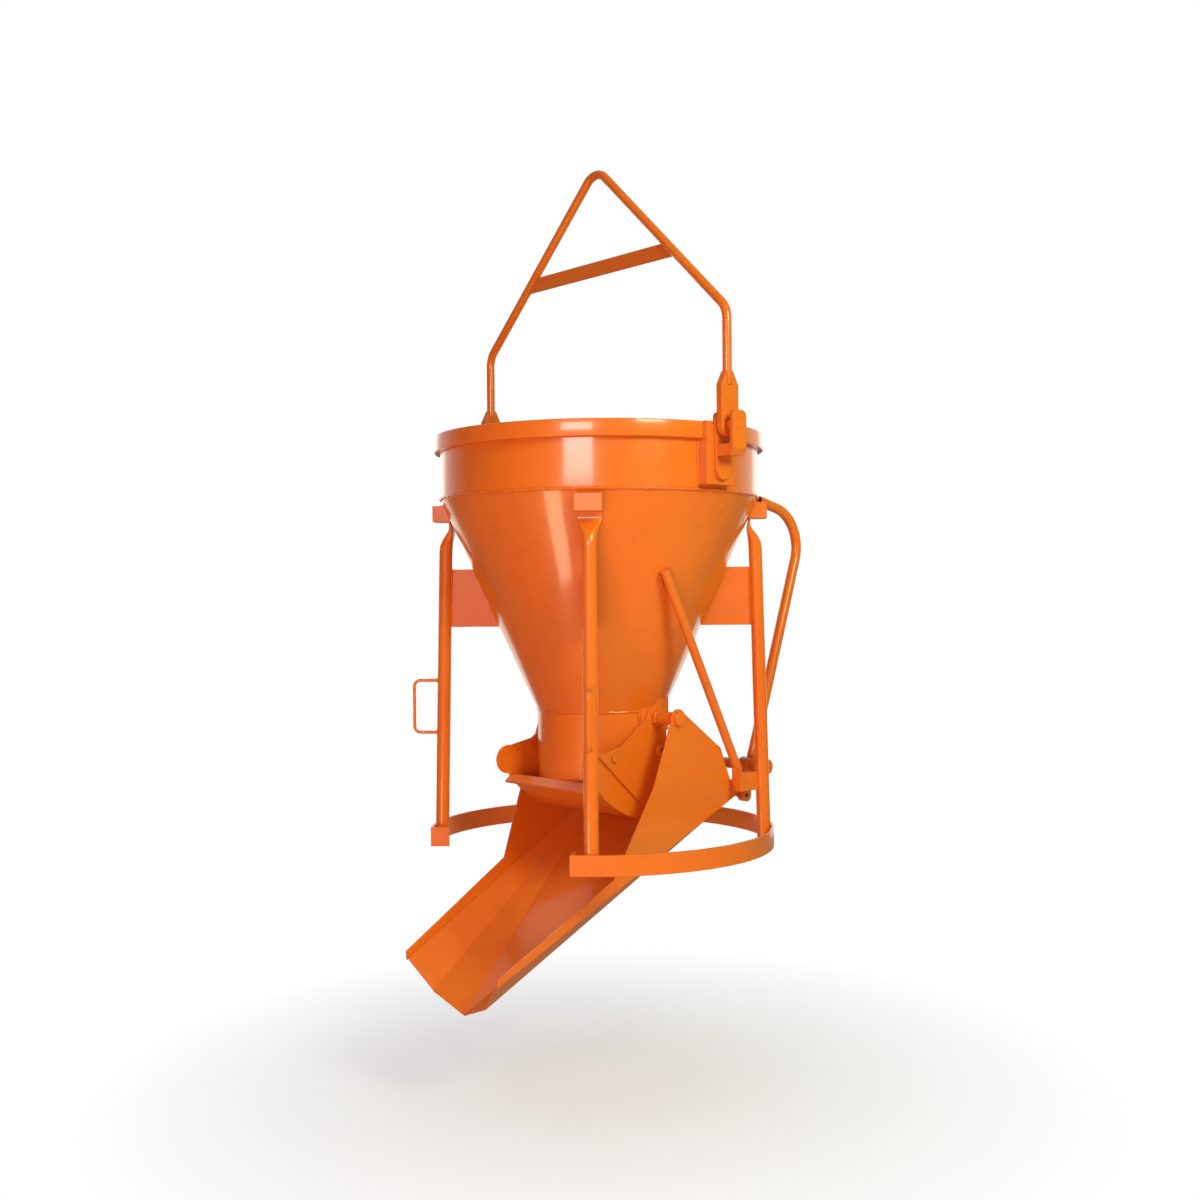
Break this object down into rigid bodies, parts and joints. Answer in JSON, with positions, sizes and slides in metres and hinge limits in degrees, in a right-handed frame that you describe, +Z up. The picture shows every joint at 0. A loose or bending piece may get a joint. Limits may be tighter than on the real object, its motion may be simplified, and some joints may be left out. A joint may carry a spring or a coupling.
{
  "type": "concrete bucket",
  "caption": "Conical crane bucket for concrete on tube legs, hung from a bent-bar bail, with a lever-worked sector gate over a swinging discharge chute.",
  "frame": {"origin": "seat of the lifting hook: the underside of the bail's peak, on the neck's axis", "axes": "+Z up along the neck's axis, +X along the bail pins, chute flowing to -Y, lever at +Y"},
  "size_m": [1.2188, 1.2471, 2.5724],
  "materials": {
    "orange_paint": "gloss",
    "bare_steel": "worn"
  },
  "bodies": {
    "bail": {"bail_bar": "orange_paint", "bail_cross_bar": "orange_paint", "bail_eye_right": "orange_paint", "bail_eye_left": "orange_paint"},
    "hopper": {"shell": "orange_paint", "rim_band": "orange_paint", "cone": "orange_paint", "neck": "orange_paint", "leg_front_right": "orange_paint", "leg_front_left": "orange_paint", "leg_rear_right": "orange_paint", "leg_rear_left": "orange_paint", "leg_lugs": "orange_paint", "leg_gussets": "orange_paint", "base_ring": "orange_paint", "grip_right": "orange_paint", "grip_left": "orange_paint", "bail_pads": "orange_paint", "bail_lugs": "orange_paint", "bail_straps": "orange_paint", "bail_pins": "orange_paint", "pivot_brackets": "orange_paint", "pivot_pins": "orange_paint", "pivot_nuts": "orange_paint", "pivot_spacers": "orange_paint", "strut_right": "orange_paint", "strut_left": "orange_paint", "stop_brackets": "orange_paint", "strut_bolts": "orange_paint", "shaft_bearing_right": "orange_paint", "shaft_bearing_left": "orange_paint"},
    "gate": {"gate_pan": "orange_paint", "gate_lip": "orange_paint", "gate_cheek_right": "orange_paint", "gate_cheek_left": "orange_paint", "gate_arm_right": "orange_paint", "gate_arm_left": "orange_paint", "gate_bolts": "orange_paint", "gate_link_pins": "bare_steel"},
    "lever": {"lever_tube": "orange_paint", "lever_hub": "orange_paint", "lever_shaft": "orange_paint", "crank_right": "orange_paint", "crank_left": "orange_paint", "crank_pins": "bare_steel", "shaft_collars": "orange_paint"},
    "links": {"link_right": "orange_paint", "link_left": "orange_paint"},
    "chute": {"chute_sheet": "orange_paint", "chute_wall_right": "orange_paint", "chute_wall_left": "orange_paint", "chute_bushes": "orange_paint"}
  },
  "joints": [
    {"name": "bail_swing", "type": "hinge", "parent": "bail", "child": "hopper", "pos_m": [0, 0, -0.83139], "axis": [1, 0, 0], "range_deg": [-85, 85]},
    {"name": "lever_swing", "type": "hinge", "parent": "hopper", "child": "lever", "pos_m": [0, 0.4, -1.86939], "axis": [-1, 0, 0], "range_deg": [0, 50]},
    {"name": "gate_swing", "type": "hinge", "parent": "hopper", "child": "gate", "pos_m": [0, 0.038, -1.69639], "axis": [-1, 0, 0], "range_deg": [0, 50]},
    {"name": "link_swing", "type": "hinge", "parent": "lever", "child": "links", "pos_m": [0, 0.40523, -1.96925], "axis": [-1, 0, 0], "range_deg": [-50, 0]},
    {"name": "chute_swing", "type": "hinge", "parent": "hopper", "child": "chute", "pos_m": [0, 0.038, -1.69639], "axis": [-1, 0, 0], "range_deg": [0, 35]}
  ],
  "couplings": [
    {"joint": "gate_swing", "follows": "lever_swing", "ratio": 1},
    {"joint": "link_swing", "follows": "lever_swing", "ratio": -1}
  ]
}
